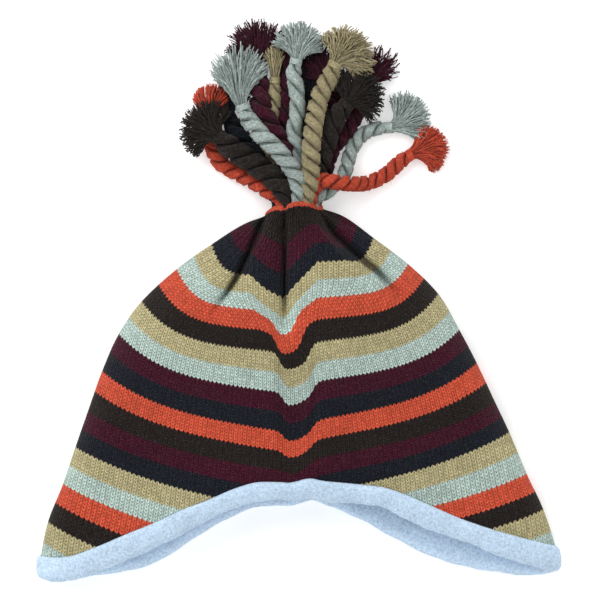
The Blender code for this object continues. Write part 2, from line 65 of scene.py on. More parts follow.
COURSES = (
    # course, left_x, left_y, right_x, right_y, left_dip_y, right_dip_y, straight, power, height
    (1, -20.5, 105.2, 14.5, 109.6, 110.4, 110.8, 0.10, 3, 27),
    (2, -31, 101.5, 25, 106, 94.5, 99.5, 0.10, 8, 31),
    (4, -53, 88, 45, 92, 68, 76.5, 0.10, 9, 36),
    (6, -74, 73, 66, 76, 46.5, 54.5, 0.22, 7, 38.5),
    (8, -95, 53.5, 84, 58, 22, 28, 0.30, 5, 39.5),
    (10, -108.5, 34, 96.5, 36.5, -2.5, 4.5, 0.42, 4.5, 39),
    (12, -118.5, 11.5, 107, 16.5, -26, -19, 0.52, 4, 38),
    (14, -127, -12.5, 118, -7, -49.5, -41.5, 0.58, 3.5, 36.5),
    (16, -134.5, -34, 126.5, -25, -73, -62.5, 0.60, 3, 35),
    (18, -142, -56, 137, -50, -98.5, -83, 0.60, 3, 33),
    (20, -151, -79, 147, -71.5, -126.5, -104.5, 0.60, 3, 32),
    (22, -155.5, -103, 155, -98, -155, -128.5, 0.60, 3, 31),
    (24, -155.5, -126, 155, -120, -182, -152, 0.60, 3, 31),
)
MIDLINE = (
    # course, x
    (1, -3),
    (4, -5),
    (8, -1.2),
    (24, -1.2),
)
MIDLINE_BLEND = 8.0

PLEAT = (
    # course, x, half_width, drop
    (1, -9.5, 1.2, 1),
    (4, -9, 1.8, 2),
    (5, -9, 3, 3.5),
    (6, -8, 6, 8),
    (7, -5.5, 8, 11.4),
    (8, -2.5, 9, 10.8),
    (10, -0.6, 9, 8.4),
    (12, -0.6, 9, 6),
    (14, -0.6, 8, 2.4),
    (15.5, -0.6, 7, 0),
)
PLEAT_EDGE = 2.6
# The notches in which the stripes run down to a crease from both sides: a wide one above the
# pleat and a small one at the right crease
CENTRE_NOTCH = (
    # course, x, reach, drop
    (1, -9.5, 8, 1),
    (2, -9.4, 15, 8.5),
    (3, -9.2, 19, 12),
    (4, -9, 20, 13.5),
    (5, -8.8, 20, 13),
    (6, -8, 19, 7.5),
    (7, -6, 17, 3),
    (8, -3, 15, 0),
)
RIGHT_NOTCH = (
    # course, x, reach, drop
    (1, 12, 6, 1.5),
    (2, 20, 9, 7),
    (3, 29, 10, 5),
    (4, 38, 9, 2.5),
    (5, 46.5, 9, 0),
)
NOTCH_ROUND = 0.12

# The creases as the lining and the inside of the knit follow them
SOFT_CREASES = (
    # first_course, last_course, first_x, last_x, depth, half_width
    (0.6, 7.8, -16.5, -59, 9.5, 6),
    (0.6, 7.5, -8.5, -8.5, 7.5, 4.5),
    (0.6, 8.6, 8.5, 77.7, 9.5, 6),
    (6.5, 15.5, -5, -0.6, 4.5, 8.5),
    (0.6, 3.4, -24.5, -48, 3, 4.5),
    (0.6, 3.4, 1, 12, 3, 4),
)
# The same creases as the knit shows them, sharper, with the small folds between them
SHARP_CREASES = (
    # first_course, last_course, first_x, last_x, depth, half_width
    (0.6, 7.8, -16.5, -59, 4.2, 7.5),
    (0.6, 7.6, -16.5, -57.8, 7, 1.9),
    (0.6, 7.5, -8.5, -8.5, 4.4, 5),
    (0.6, 6.4, -8.5, -8.8, 4.6, 1.6),
    (0.6, 8.6, 8.5, 77.7, 4.2, 7.5),
    (0.6, 8.2, 8.5, 74.2, 7, 1.9),
    (6.5, 15.5, -5, -0.6, 4, 8.5),
    (0.6, 3.4, -24.5, -48, 1.6, 3.5),
    (0.6, 3.8, 1, 14, 1.8, 3),
    (7.5, 15.5, -11.5, -10, 2, 1.9),
    (7, 15, 9, 8.8, 1.8, 2),
)

# The rows of the two long creases, at which the wales are counted anew
LEFT_CREASE = 0
RIGHT_CREASE = 4

RIM = (
    # share, front_seam, front_hem, back_hem
    (-1.0, 21.7, 22.8, 22.8),
    (-0.9, 21.0, 22.15, 22.15),
    (-0.8, 19.95, 21.12, 21.35),
    (-0.7, 18.85, 20.1, 20.7),
    (-0.6, 17.9, 19.08, 19.95),
    (-0.5, 16.95, 18.1, 18.8),
    (-0.4, 16.2, 17.12, 17.68),
    (-0.3, 15.4, 16.32, 16.8),
    (-0.2, 14.82, 15.78, 16.12),
    (-0.1, 14.62, 15.46, 15.9),
    (0.0, 14.58, 15.62, 15.94),
    (0.1, 15.28, 16.42, 16.52),
    (0.2, 15.68, 16.74, 17.3),
    (0.3, 16.05, 17.05, 18.1),
    (0.4, 16.5, 17.55, 19.15),
    (0.5, 17.25, 18.55, 20.25),
    (0.6, 18.2, 19.5, 21.05),
    (0.7, 19.25, 20.35, 21.65),
    (0.8, 20.15, 21.3, 22.15),
    (0.9, 20.9, 22.05, 22.65),
    (1.0, 21.65, 22.85, 22.85),
)
BACK_BAND_COURSES = 1.12
WALL_SHORT_OF_HEM = 0.40
INNER_LEG_COURSES = 0.65

# How fast a crease sets in and dies away along its length
CREASE_STARTS = 6.0
CREASE_ENDS = 1.9

FOLD_ROUNDING = 1.2
ARCH_DROP = 0.28
ARCH_POWER = 2.2
RIM_LIFT = 2.3
RIM_LIFT_COURSES = 1.3
NECK_RISE = 4.6
NECK_POWER = 3.2
NECK_TOP_COURSE = 0.25

# Fine shape of the knit that the part's source leaves out: gathers that fan out from the neck and
# soft waves over the whole crown
GATHERS = 17
GATHER_DEPTH = 0.45
GATHER_COURSES = 4.5
WAVES = (
    # along_x, along_course, phase, depth
    (0.043, 0.55, 0.4, 0.30),
    (0.071, -0.83, 2.1, 0.22),
    (-0.024, 1.31, 4.0, 0.20),
    (0.118, 0.37, 1.2, 0.12),
)

# Stitches
ROWS_A_STRIPE = 6
FOLD_WALES = 41.0
FOLD_WALES_GROWTH = 0.62
EVEN_FROM_COURSE = 8.0
# How deep a crease sinks before painted shade darkens the knit, how deep it is at full painted shade, and
# how much that painted shade darkens the colour
PAINTED_SHADE_FROM_DEPTH = 3.5
PAINTED_SHADE_FULL_DEPTH = 10.0
PAINTED_CREASE_SHADE = 0.75
GATHERED_PITCH_MIDDLE = 3.2
GATHERED_PITCH_SIDE = 2.3
STITCH_LEAN = 0.72
# A stitch's legs, the groove between wales and the hole at its foot, in shares of a stitch, and the painted
# shade that darkens the hole
LEG_CURVE = 0.85
LEG_ROUND = 0.55
ROW_WANDERS = 0.3
GROOVE_WIDE = 0.36
HOLE_WIDE = 0.42
HOLE_HIGH = 0.34
HOLE_PAINTED_SHADE = 0.95

STRIPES = ("orange", "brown", "burgundy", "navy", "tan", "mint",
           "orange", "brown", "tan", "mint", "burgundy", "navy")

KNIT_COLOURS = {
    "orange": (0.57, 0.077, 0.036),
    "brown": (0.0130, 0.0085, 0.0070),
    "burgundy": (0.043, 0.0015, 0.012),
    "navy": (0.005, 0.007, 0.013),
    "tan": (0.42, 0.370, 0.200),
    "mint": (0.42, 0.53, 0.48),
}
YARNS = {
    "mint": (0.43, 0.51, 0.48),
    "tan": (0.41, 0.35, 0.20),
    "orange": (0.62, 0.080, 0.038),
    "brown": (0.0180, 0.0130, 0.0105),
    "burgundy": (0.050, 0.002, 0.014),
    "navy": (0.006, 0.009, 0.016),
}
# Painted sheen: pale grey added over the wool's fuzz, as a share of the yarn's light
PAINTED_FUZZ_SHEEN = 0.11
FLEECE = (0.560, 0.715, 0.885)

# Cords: each is thinner at its root, which starts inside the neck, and where it is tied
ROOT_WIDTH = 5.8
ROOT_LENGTH = 17.0
ROOT_START = 108.5
ROOT_STRAIGHT = 6.5
ROUTE_SPACING = 0.9
TIED = 0.66
TIED_LENGTH = 7.0
TUFT_GAP = 0.35
# A short stout cord is declared this many widths long, since it is much thinner at its root
LEAST_WIDTHS = 6.05
# A ply's place and section, in cord widths, its yarns' ridges and its share of light and dark
PLY_OUT = 0.245
PLY_THICK = 0.255
PLY_WIDE = 0.41
PLY_SIDES = 24
PLY_YARNS = 8.0
YARN_PROUD = 0.05
PLY_UNEVEN = 0.03

# A frayed end is how many strands it has, the fan that they fill, in degrees clockwise from straight
# up the table, how far they reach, how thick it is, how they differ in length and how they wave
CORDS = (
    # name, whose first word is its yarn, width, widths in a full twist, root (x, z), frayed end, route
    ("navy_left", 12.4, 2, (-13.4, 6), (170, -30, 54, 24, 8, 0.25, 0.5),
     ((-19, 130, 4.6), (-26.4, 142, 5.3), (-36.5, 154.2, 5.7), (-42.2, 164.7, 5.4))),
    ("tan_behind", 8, 2.2, (-9, 6), (110, -26, 24, 22, 9, 0.15, 0.4),
     ((-14, 130, 4.4), (-21, 145.5, 4.4), (-17.4, 159.5, 7.2), (-15, 173, 9), (-14.6, 187, 9.2))),
    ("burgundy_mid", 11.2, 1.9, (-3.8, 6), (160, -52, 34, 24, 8.2, 0.20, 0.6),
     ((-4.2, 130, 4.6), (-8, 146, 4.9), (-9.6, 160, 4.9), (-8.2, 174, 5.3), (-7.6, 189, 5.3))),
    ("navy_centre", 10.4, 1.9, (1.9, 6), (210, -22, 40, 44, 8.4, 0.30, 0.8),
     ((3.4, 130, 4.6), (1.6, 146, 4.9), (2.8, 158, 4.9), (5, 171, 4.9))),
    ("burgundy_upper", 9.6, 1.9, (6.4, 6), (170, -74, 24, 24, 9.4, 0.20, 0.6),
     ((10, 130, 4.6), (11.5, 146, 4.5), (17.5, 160, 4.5), (21.6, 171, 5.2), (19, 183, 7))),
    ("burgundy_right", 9.6, 1.9, (10.6, 6), (130, -2, 70, 30, 9.6, 0.45, 1),
     ((15, 130, 5), (20.5, 146, 4.9), (30, 158, 4.9), (36, 170.5, 4.9), (40.5, 182, 5))),
    ("orange_left", 9.6, 1.8, (-11.4, 13.5), (200, -38, 50, 23.5, 9.2, 0.14, 0.5),
     ((-21, 121.8, 11.4), (-31, 127.9, 7.4), (-41, 133.2, 5.2), (-48, 138.2, 5), (-52, 146.5, 5),
      (-53.6, 155.5, 5.8), (-54.2, 162, 7.2))),
    ("burgundy_left", 12.8, 1.8, (-7.4, 13.5), (340, -62, 56, 33.5, 10, 0.26, 0.9),
     ((-7.8, 130, 13.2), (-9.2, 145, 14), (-17.2, 158.5, 13.6), (-22.8, 171, 12), (-23.8, 183, 8),
      (-23.8, 192, 6))),
    ("mint_centre", 9.4, 2.7, (-2, 13.5), (230, -60, 70, 25.5, 10, 0.20, 0.7),
     ((-1, 130, 13), (-1.6, 146, 14.2), (-3, 156.5, 14.2), (-1, 168, 14.2), (-1.4, 180, 14.2),
      (-3.2, 190, 14.2), (-1.9, 198, 14.2))),
    ("brown_right", 12.8, 1.8, (4.4, 13.5), (350, -50, 128, 26.5, 11, 0.22, 1.2),
     ((10.2, 130, 13.4), (15, 146, 14.6), (20.9, 162, 15.2), (28.3, 172, 15.6))),
    ("mint_right", 8.6, 2, (9.2, 13.5), (220, 0, 116, 27.5, 10, 0.20, 0.7),
     ((17.6, 120.4, 11.6), (27.2, 131, 7.2), (31.2, 144.3, 4.8), (37, 153.4, 4.6), (45, 157.8, 4.6),
      (54.6, 158.8, 4.8))),
    ("brown_left", 13.6, 1.7, (-7.8, 20.5), (340, -132, 28, 26, 10.5, 0.22, 1.1),
     ((-13.4, 125.8, 19.7), (-26.2, 136, 17.2), (-38.6, 144.4, 16.6), (-48, 152.2, 16.6))),
    ("mint_left", 10.6, 1.8, (-1, 20.5), (250, -46, 36, 40, 11, 0.28, 0.9),
     ((-1.9, 129.4, 23), (-11.6, 142.8, 26.4), (-22.2, 153, 24.4), (-29.9, 162.5, 17.6),
      (-33.8, 170.3, 16.4))),
    ("tan_main", 11.2, 1.45, (5, 20), (300, -30, 132, 27, 11.5, 0.20, 1.1),
     ((6.9, 131, 22.4), (7.3, 147, 24.6), (9.2, 162, 22), (12.6, 177, 17), (18.6, 189, 15),
      (21.5, 196, 15))),
    ("orange_right", 9.2, 1.6, (7.4, 17), (260, 12, 130, 24.5, 10.4, 0.16, 0.7),
     ((8.9, 121.2, 17.4), (13, 126.2, 18.6), (19.4, 125.8, 19.6), (29, 124.7, 16.6),
      (40.5, 125.2, 6.8), (52, 130.2, 4.9), (61, 138.2, 4.9), (67, 142.3, 4.9))),
)

# The strands of a frayed end and the yarn that ties them
STRAND_THICK = 0.95
STRAND_STEPS = 13
STRAND_SIDES = 5
STRAND_SINKS = 0.30
SIDES_SHORTER = 0.28
TIE_TURNS = 4
TIE_LENGTH = 3.6
TIE_THICK = 1.1
TIE_PROUD = 0.25
TIE_SIDES = 6
FLOOR_GAP = 0.1
# Stray fibres on each cord
FIBRES = 280
FIBRE_LENGTH = 2.1
FIBRE_RISE = 0.55
FIBRE_THICK = 0.26

# Grids
FRONT_STEPS = 300
BACK_STEPS = 84
CROWN_ROWS = 176
CROWN_BUNCHING = 1.06
WALL_ROWS = 8
INSIDE_ROWS = 14
LINING_FRONT_STEPS = 110
LINING_BACK_STEPS = 60
LINING_ROWS = 60

# The lining starts below the neck and hangs free of the knit by a spare room near the neck
LINING_FROM = 0.12
LINING_SPARE = 4.5
LINING_EDGE = 6.0
LINING_EDGE_SHARE = 0.3
LINING_DEEPER = 1.45
LINING_POLE = (0.0, 1.5, -4.0)
PILE_STEP = (4.0, 12.3)

BAND_ROLL = 0.16
BAND_FULL = 1.0
BAND_TURN = (22.0, 158.0)
BAND_TURN_ROWS = 7
BAND_WAVES = (
    # along, across, phase, depth
    (0.31, 0.21, 0.3, 0.22),
    (0.83, -0.35, 1.7, 0.16),
    (1.9, 0.6, 4.0, 0.09),
)
# Painted light: the lining and the binding's inner leg are drawn this much lighter, against the shade they
# lie in
INSIDE_PAINTED_LIGHTER = 1.12

# Light and floor, in metres
LAMPS = (
    # name, place, size, power
    ("upper_left", (-0.9, 1.0, 1.3), 1.2, 17.0),
    ("right", (1.2, 0.3, 1.2), 1.2, 2.0),
)
LAMP_AIM = (0.0, 0.05, 0.0)
SKY = 0.80
WHITE = (1.0, 1.0, 1.0, 1.0)
FLOOR_SIZE = 3.0
FLOOR_GREY = (0.90, 0.90, 0.90, 1.0)
FLOOR_ROUGH = 0.8
FLOOR_GLOW = 0.34


def column(table, index):
    """One named column of a table as an array."""
    return np.array([row[index] for row in table], dtype=float)


def through(table, index, at):
    """A smooth curve through one column of a table, held at its ends: a cubic on each span whose
    slopes at the rows are those between their neighbours."""
    rows = column(table, 0)
    values = column(table, index)
    slopes = np.gradient(values, rows)
    at = np.clip(np.asarray(at, dtype=float), rows[0], rows[-1])
    span = np.clip(np.searchsorted(rows, at) - 1, 0, len(rows) - 2)
    width = rows[span + 1] - rows[span]
    t = (at - rows[span]) / width
    start = (2 * t ** 3 - 3 * t ** 2 + 1) * values[span]
    leave = (t ** 3 - 2 * t ** 2 + t) * width * slopes[span]
    end = (3 * t ** 2 - 2 * t ** 3) * values[span + 1]
    arrive = (t ** 3 - t ** 2) * width * slopes[span + 1]
    return start + leave + end + arrive


def smooth_step(t):
    """0 below 0, 1 above 1 and a soft S between: 3 t squared less 2 t cubed."""
    t = np.clip(t, 0.0, 1.0)
    return t * t * (3.0 - 2.0 * t)


def unit(vectors):
    """Vectors divided by their lengths."""
    return vectors / np.linalg.norm(vectors, axis=-1, keepdims=True)


def seam_course(front, share):
    """The course of the binding's upper edge."""
    return np.where(front, through(RIM, 1, share), through(RIM, 3, share) - BACK_BAND_COURSES)


def hem_course(front, share):
    """The course at which the rim's lower edge cuts the front or the back."""
    return np.where(front, through(RIM, 2, share), through(RIM, 3, share))


def wall_end(front, share):
    """The course at which knit and lining end inside the binding."""
    return hem_course(front, share) - WALL_SHORT_OF_HEM


def plan(front, share, course):
    """The place of a point of the crown seen from above: along its course from fold to fold, with
    the hang blended between the left and the right half, and the pleat's drop on the front."""
    left_x, left_y, right_x, right_y, left_dip, right_dip, straight, power = (
        through(COURSES, index, course) for index in range(1, 9))
    middle = through(MIDLINE, 1, course)
    reach = np.abs(share)
    x = np.where(share < 0, middle + share * (middle - left_x), middle + share * (right_x - middle))
    upturn = straight * reach + (1 - straight) * reach ** power
    to_right = 0.5 + 0.5 * np.tanh((x - middle) / MIDLINE_BLEND)
    dip = left_dip * (1 - to_right) + right_dip * to_right
    edge = np.where(share < 0, left_y, right_y)
    y = dip + (edge - dip) * upturn
    pleat_x, half, drop = (through(PLEAT, index, course) for index in (1, 2, 3))
    inside = np.tanh((x - pleat_x + half) / PLEAT_EDGE) - np.tanh((x - pleat_x - half) / PLEAT_EDGE)
    lower = 0.5 * drop * inside / np.tanh(half / PLEAT_EDGE)
    for notch in (CENTRE_NOTCH, RIGHT_NOTCH):
        middle_x, reach_x, drop = (through(notch, index, course) for index in (1, 2, 3))
        flank = np.clip(1.0 - np.hypot((x - middle_x) / reach_x, NOTCH_ROUND), 0.0, 1.0)
        lower = lower + drop * flank * (1.6 - 0.6 * flank)
    return x, y - np.where(front, lower, 0.0)


def crease_depth(creases, x, course):
    """How far creases press the front in: each a groove, e to the minus x squared across, that
    fades along its length."""
    depth = np.zeros_like(x)
    for first, last, first_x, last_x, deep, half in creases:
        along = (course - first) / (last - first)
        middle = first_x + (last_x - first_x) * along
        fade = smooth_step(CREASE_STARTS * along) * smooth_step(CREASE_ENDS * (1.0 - along))
        depth = depth + deep * fade * np.exp(-((x - middle) / half) ** 2)
    return depth


def height(front, share, course, x, creases):
    """The height of the crown's outside over the table: a low arch on the front, a flat back with
    rounded folds, and a small lift near the rim so that the binding's underside meets the table."""
    top = through(COURSES, 9, course)
    fold = 0.5 * (1.0 - ARCH_DROP) * top
    reach = np.clip(np.abs(share), 0.0, 1.0)
    left_x, right_x = through(COURSES, 1, course), through(COURSES, 3, course)
    rounding = np.clip(2.0 * FOLD_ROUNDING * fold / (right_x - left_x), 0.0, 1.0)
    into_fold = np.clip((reach - 1.0 + rounding) / rounding, 0.0, 1.0)
    swell = np.sqrt(1.0 - into_fold ** 2)
    arch = fold + (top * (1.0 - ARCH_DROP * reach ** ARCH_POWER) - fold) * swell
    lift = RIM_LIFT * smooth_step((course - seam_course(front, share)) / RIM_LIFT_COURSES + 1.0)
    under = fold - (fold - lift) * swell
    return np.where(front, arch - crease_depth(creases, x, course) * swell, under)


def fine_waves(front, share, course, x):
    """Small heights of the cloth itself: gathers that fan out from the neck and die away, and a
    sum of slow sine waves."""
    gathers = GATHER_DEPTH * np.sin(math.tau * GATHERS * share + 0.6 * course)
    gathers = gathers * (1.0 - smooth_step((course - 0.6) / GATHER_COURSES))
    waves = sum(depth * np.sin(along_x * x + along_course * course + phase)
                for along_x, along_course, phase, depth in WAVES)
    return np.where(front, (gathers + waves) * smooth_step(8.0 * (1.0 - np.abs(share))), 0.0)


def neck_ring(front, share, creases):
    """The ring of the first course, and its middle."""
    first = np.full_like(share, COURSES[0][0])
    x, y = plan(front, share, first)
    z = height(front, share, first, x, creases)
    centre = np.array([0.5 * (x.min() + x.max()), y.mean(), 0.5 * COURSES[0][9]])
    return np.stack([x, y, z], axis=-1), centre


def skin(front, share, course, creases, fine=False):
    """The outside of the knitted crown.  Past the first course the ring shrinks to the middle of
    the neck as it rises, like the end of a cushion."""
    front, share, course = np.broadcast_arrays(front, share, course)
    held = np.maximum(course, 1.0)
    x, y = plan(front, share, held)
    z = height(front, share, held, x, creases)
    if fine:
        z = z + fine_waves(front, share, held, x)
    points = np.stack([x, y, z], axis=-1)
    ring, centre = neck_ring(front[0], share[0], creases)
    past = np.clip(1.0 - course, 0.0, 1.0)[..., None]
    shrink = (1.0 - past ** NECK_POWER) ** (1.0 / NECK_POWER)
    capped = centre + (ring - centre) * shrink + np.array([0.0, NECK_RISE, 0.0]) * past
    return np.where(past > 0, capped, points)


def ring_of_shares(front_steps, back_steps):
    """The samples round the crown: over the front from fold to fold and back along the back,
    closer together at the folds."""
    def spread(steps, bunching):
        even = np.linspace(-1.0, 1.0, steps + 1)
        return (1 - bunching) * even + bunching * np.sin(0.5 * math.pi * even)
    over = spread(front_steps, 0.65)
    back = spread(back_steps, 0.90)[::-1]
    share = np.concatenate([over[:-1], back[:-1]])
    front = np.concatenate([np.ones(front_steps, bool), np.zeros(back_steps, bool)])
    return front, share


def grid_normals(grid):
    """Outward unit normals of a ring grid: down its rows cross along them."""
    along = np.roll(grid, -1, axis=1) - np.roll(grid, 1, axis=1)
    down = np.gradient(grid, axis=0)
    normal = np.cross(down, along)
    return normal / np.maximum(np.linalg.norm(normal, axis=-1, keepdims=True), 1e-9)


def ring_faces(rows, ring):
    """The squares of a closed ring grid, as corner numbers."""
    row, step = np.meshgrid(np.arange(rows - 1), np.arange(ring), indexing="ij")
    after = (step + 1) % ring
    here, below = row * ring, (row + 1) * ring
    return np.stack([here + step, below + step, below + after, here + after], axis=-1).reshape(-1, 4)


def fan(pole, first, ring):
    """The triangles from a pole to a ring of points that starts at a first one."""
    steps = np.arange(ring)
    return np.stack([np.full(ring, pole), first + steps, first + (steps + 1) % ring], axis=-1)


def add(name, data):
    """A new object in the scene."""
    made = bpy.data.objects.new(name, data)
    bpy.context.scene.collection.objects.link(made)
    return made


def set_inputs(node, values):
    """Sets a node's sockets by their names."""
    for name, value in values.items():
        node.inputs[name].default_value = value


def make_mesh(name, points, quads, triangles=()):
    """A mesh of points in table coordinates with four-cornered and three-cornered faces."""
    mesh = bpy.data.meshes.new(name)
    corners = [face.tolist() for face in (quads, np.asarray(triangles, dtype=int)) if len(face)]
    mesh.from_pydata(((points - BODY_MIDDLE) * MM).tolist(), [], sum(corners, []))
    mesh.update()
    return mesh


def place(name, mesh, material, nodes=()):
    """Links a finished mesh as a piece on the one body, standing for its nodes."""
    piece = add(name, mesh)
    mesh.shade_smooth()
    mesh.materials.append(material)
    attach(piece, "root")
    if nodes:
        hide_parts(*nodes)
    return piece


class Link:
    """One socket of a material.  Sums, differences, products and quotients of links and numbers
    add the Math nodes that they name."""

    def __init__(self, tree, socket=None):
        self.tree = tree
        self.socket = socket

    def node(self, kind, settings, inputs, output=0):
        """Adds a node of a type, with its settings first and then its sockets' values or links."""
        made = self.tree.nodes.new("ShaderNode" + kind)
        for name, value in settings.items():
            if name == "stops":
                ramp = made.color_ramp
                while len(ramp.elements) < len(value):
                    ramp.elements.new(1.0)
                for element, (position, colour) in zip(ramp.elements, value):
                    element.position = position
                    element.color = (*colour, 1.0)
            elif name == "interpolation":
                made.color_ramp.interpolation = value
            else:
                setattr(made, name, value)
        for name, value in inputs.items():
            if isinstance(value, Link):
                self.tree.links.new(value.socket, made.inputs[name])
            else:
                made.inputs[name].default_value = value
        return Link(self.tree, made.outputs[output])

    def math(self, operation, *others):
        """A Math node on this link and others."""
        return self.node("Math", {"operation": operation}, dict(enumerate((self, *others))))

    def noise(self, scale, detail, roughness=0.5):
        """A noise at this place."""
        return self.node("TexNoise", {}, {"Vector": self, "Scale": scale, "Detail": detail,
                                          "Roughness": roughness})

    def number(self, name):
        """The number that the piece stores at its points under a name."""
        return self.node("Attribute", {"attribute_name": name}, {}, output=2)

    def spread(self, low, high):
        """This noise, whose values keep near one half, spread out from a low to a high share."""
        return self.node("MapRange", {"clamp": True}, {0: self, 1: 0.30, 2: 0.70, 3: low, 4: high})

    def __add__(self, other):
        return self.math("ADD", other)

    def __mul__(self, other):
        return self.math("MULTIPLY", other)

    def __sub__(self, other):
        return self.math("SUBTRACT", other)

    def __rsub__(self, other):
        return self.node("Math", {"operation": "SUBTRACT"}, {0: other, 1: self})

    def __truediv__(self, other):
        return self.math("DIVIDE", other)

    __radd__ = __add__
    __rmul__ = __mul__

    def on(self, colour, blend):
        """This link as a grey, multiplied with a colour or added to it."""
        colour = colour if isinstance(colour, Link) else (*colour, 1.0)
        grey = self.node("CombineColor", {}, {0: self, 1: self, 2: self})
        return self.node("Mix", {"data_type": "RGBA", "blend_type": blend},
                         {0: 1.0, 6: colour, 7: grey}, output=2)


def new_material(name, roughness, sheen, sheen_tint):
    """A dull woollen Principled surface, its shader and its first link."""
    material = bpy.data.materials.new(name)
    material.use_nodes = True
    tree = material.node_tree
    shader = tree.nodes["Principled BSDF"]
    set_inputs(shader, {"Roughness": roughness, "Specular IOR Level": 0.12, "Sheen Weight": sheen,
                        "Sheen Roughness": 0.5, "Sheen Tint": (*sheen_tint, 1.0)})
    return material, shader, Link(tree)


def finish(shader, colour, heights, distance):
    """Joins a colour and a bump's heights to the shader."""
    bump = colour.node("Bump", {}, {"Strength": 1.0, "Distance": distance * MM, "Height": heights})
    for link, name in ((colour, "Base Color"), (bump, "Normal")):
        colour.tree.links.new(link.socket, shader.inputs[name])


def knit_material():
    """Stocking stitch from the piece's own map of wales and rows.  A row's stitch is a V: its row
    number is the map's plus the lean times the distance from the wale's middle, so that the legs
    of the V climb to both sides.  A leg is round across and along, with a dark hole at the foot of
    each V and a groove between wales; this darkening and the lighter middle of a leg are painted
    shade and painted light in the colour.  The stripe is the row number over the rows a stripe has,
    so the colours meet along the stitches.  The "fold" attribute darkens the bottom of a crease with
    painted shade, and a painted sheen of pale fuzz is added over the colour."""
    material, shader, start = new_material("striped_knit", 0.95, 0.05, (1.0, 0.95, 0.9))
    stitches = start.node("UVMap", {"uv_map": "stitches"}, {})
    parts = start.node("SeparateXYZ", {}, {0: stitches})
    wale, row = parts, Link(start.tree, parts.socket.node.outputs[1])
    spot = start.node("TexCoord", {}, {}, output=3)
    from_middle = (wale.math("FRACT") - 0.5).math("ABSOLUTE") * 2.0
    wander = (spot.noise(700.0, 1.0) - 0.5) * ROW_WANDERS
    leg_row = row + from_middle.math("POWER", LEG_CURVE) * STITCH_LEAN + wander
    number = leg_row.math("FLOOR")
    across = leg_row.math("FRACT")
    round_leg = (across * math.pi).math("SINE").math("POWER", LEG_ROUND)
    groove = (1.0 - from_middle).math("MINIMUM", GROOVE_WIDE) * (1.0 / GROOVE_WIDE)
    from_foot = (across - 0.5).math("ABSOLUTE") * -1.0 + 0.5
    hole = (((HOLE_WIDE - from_middle) * 2.4).math("MAXIMUM", 0.0)
            * ((HOLE_HIGH - from_foot) * 3.0).math("MAXIMUM", 0.0))
    # Painted shade and light: the yarn is lighter in a leg's middle and darker between rows, in the groove
    # between wales and in the hole at a V's foot; the same numbers give the bump
    yarn = (0.58 + 0.44 * round_leg) * (0.34 + 0.68 * groove) * (1.0 - HOLE_PAINTED_SHADE * hole)

    repeat = ROWS_A_STRIPE * len(STRIPES)
    stripe = ((number + 0.5) / repeat).math("FRACT")
    stops = [(index / len(STRIPES), KNIT_COLOURS[name]) for index, name in enumerate(STRIPES)]
    colour = start.node("ValToRGB", {"interpolation": "CONSTANT", "stops": stops}, {0: stripe})

    fuzz = spot.noise(1300.0, 3.0, 0.6)
    blotch = spot.noise(40.0, 2.0)
    cell = start.node("CombineXYZ", {}, {0: (wale * 2.0).math("FLOOR"), 1: number})
    single = start.node("TexWhiteNoise", {"noise_dimensions": "2D"}, {"Vector": cell})
    # Painted shade: the "fold" number darkens the colour at the bottom of deep creases
    fold = start.number("fold")
    shade = (0.34 + 0.80 * yarn) * (0.84 + 0.32 * single) * fuzz.spread(0.72, 1.28)
    shade = shade * blotch.spread(0.92, 1.08) * fold
    # Painted sheen: pale grey added where the fuzz catches light, less in the painted stitch and crease
    # shade
    fuzz_sheen = (fuzz - 0.47).math("MAXIMUM", 0.0) * PAINTED_FUZZ_SHEEN * yarn * fold
    finish(shader, fuzz_sheen.on(shade.on(colour, "MULTIPLY"), "ADD"), yarn + fuzz * 0.25, 0.6)
    return material


def fibrous(start, uv_map, stretch, detail, roughness):
    """Fibres from noise stretched along the piece's own map."""
    where = start.node("UVMap", {"uv_map": uv_map}, {})
    return start.node("Mapping", {}, {0: where, 3: stretch}).noise(1.0, detail, roughness)


def fleece_material(name):
    """Brushed fleece: short fibres that lie across the band, over softer nubs, with painted light from the
    "tone" number that lightens the inside pieces.
    """
    material, shader, start = new_material(name, 0.97, 0.10, (0.9, 0.95, 1.0))
    spot = start.node("TexCoord", {}, {}, output=3)
    fibres = fibrous(start, "pile", (1.5, 0.55, 1.0), 3.0, 0.6)
    fuzz = fibres * 0.45 + spot.noise(640.0, 3.0, 0.65) * 0.55
    # The "tone" number is painted light that lightens the lining and the binding's inner leg
    shade = fuzz.spread(0.62, 1.34) * spot.noise(70.0, 2.0).spread(0.95, 1.05) * start.number("tone")
    finish(shader, shade.on(FLEECE, "MULTIPLY"), fuzz, 1.2)
    return material


def yarn_material(name, colour):
    """Twisted wool: fine fibres along the strand, lighter on the outside of a twist and darker in
    its grooves as painted light and shade carried by the "tone" number, with a painted sheen of pale fuzz."""
    material, shader, start = new_material("twisted_" + name, 0.95, 0.08, (1.0, 0.97, 0.93))
    fibres = fibrous(start, "strand", (2.0, 0.6, 1.0), 4.0, 0.65)
    soft = start.node("TexCoord", {}, {}, output=3).noise(700.0, 3.0, 0.6)
    tone = start.number("tone")
    shade = fibres.spread(0.66, 1.28) * soft.spread(0.70, 1.28) * tone
    # Painted sheen: pale grey added where the fuzz catches light
    fuzz_sheen = (soft - 0.50).math("MAXIMUM", 0.0) * PAINTED_FUZZ_SHEEN * tone
    finish(shader, fuzz_sheen.on(shade.on(colour, "MULTIPLY"), "ADD"), fibres + soft * 0.6, 0.7)
    return material


def number_corners(mesh, name, values):
    """Stores a map with one pair of numbers for each face corner."""
    layer = mesh.uv_layers.new(name=name)
    layer.data.foreach_set("uv", np.ascontiguousarray(values, dtype=np.float32).ravel())


def corner_points(mesh):
    """The point of each face corner."""
    corners = np.empty(len(mesh.loops), dtype=int)
    mesh.loops.foreach_get("vertex_index", corners)
    return corners


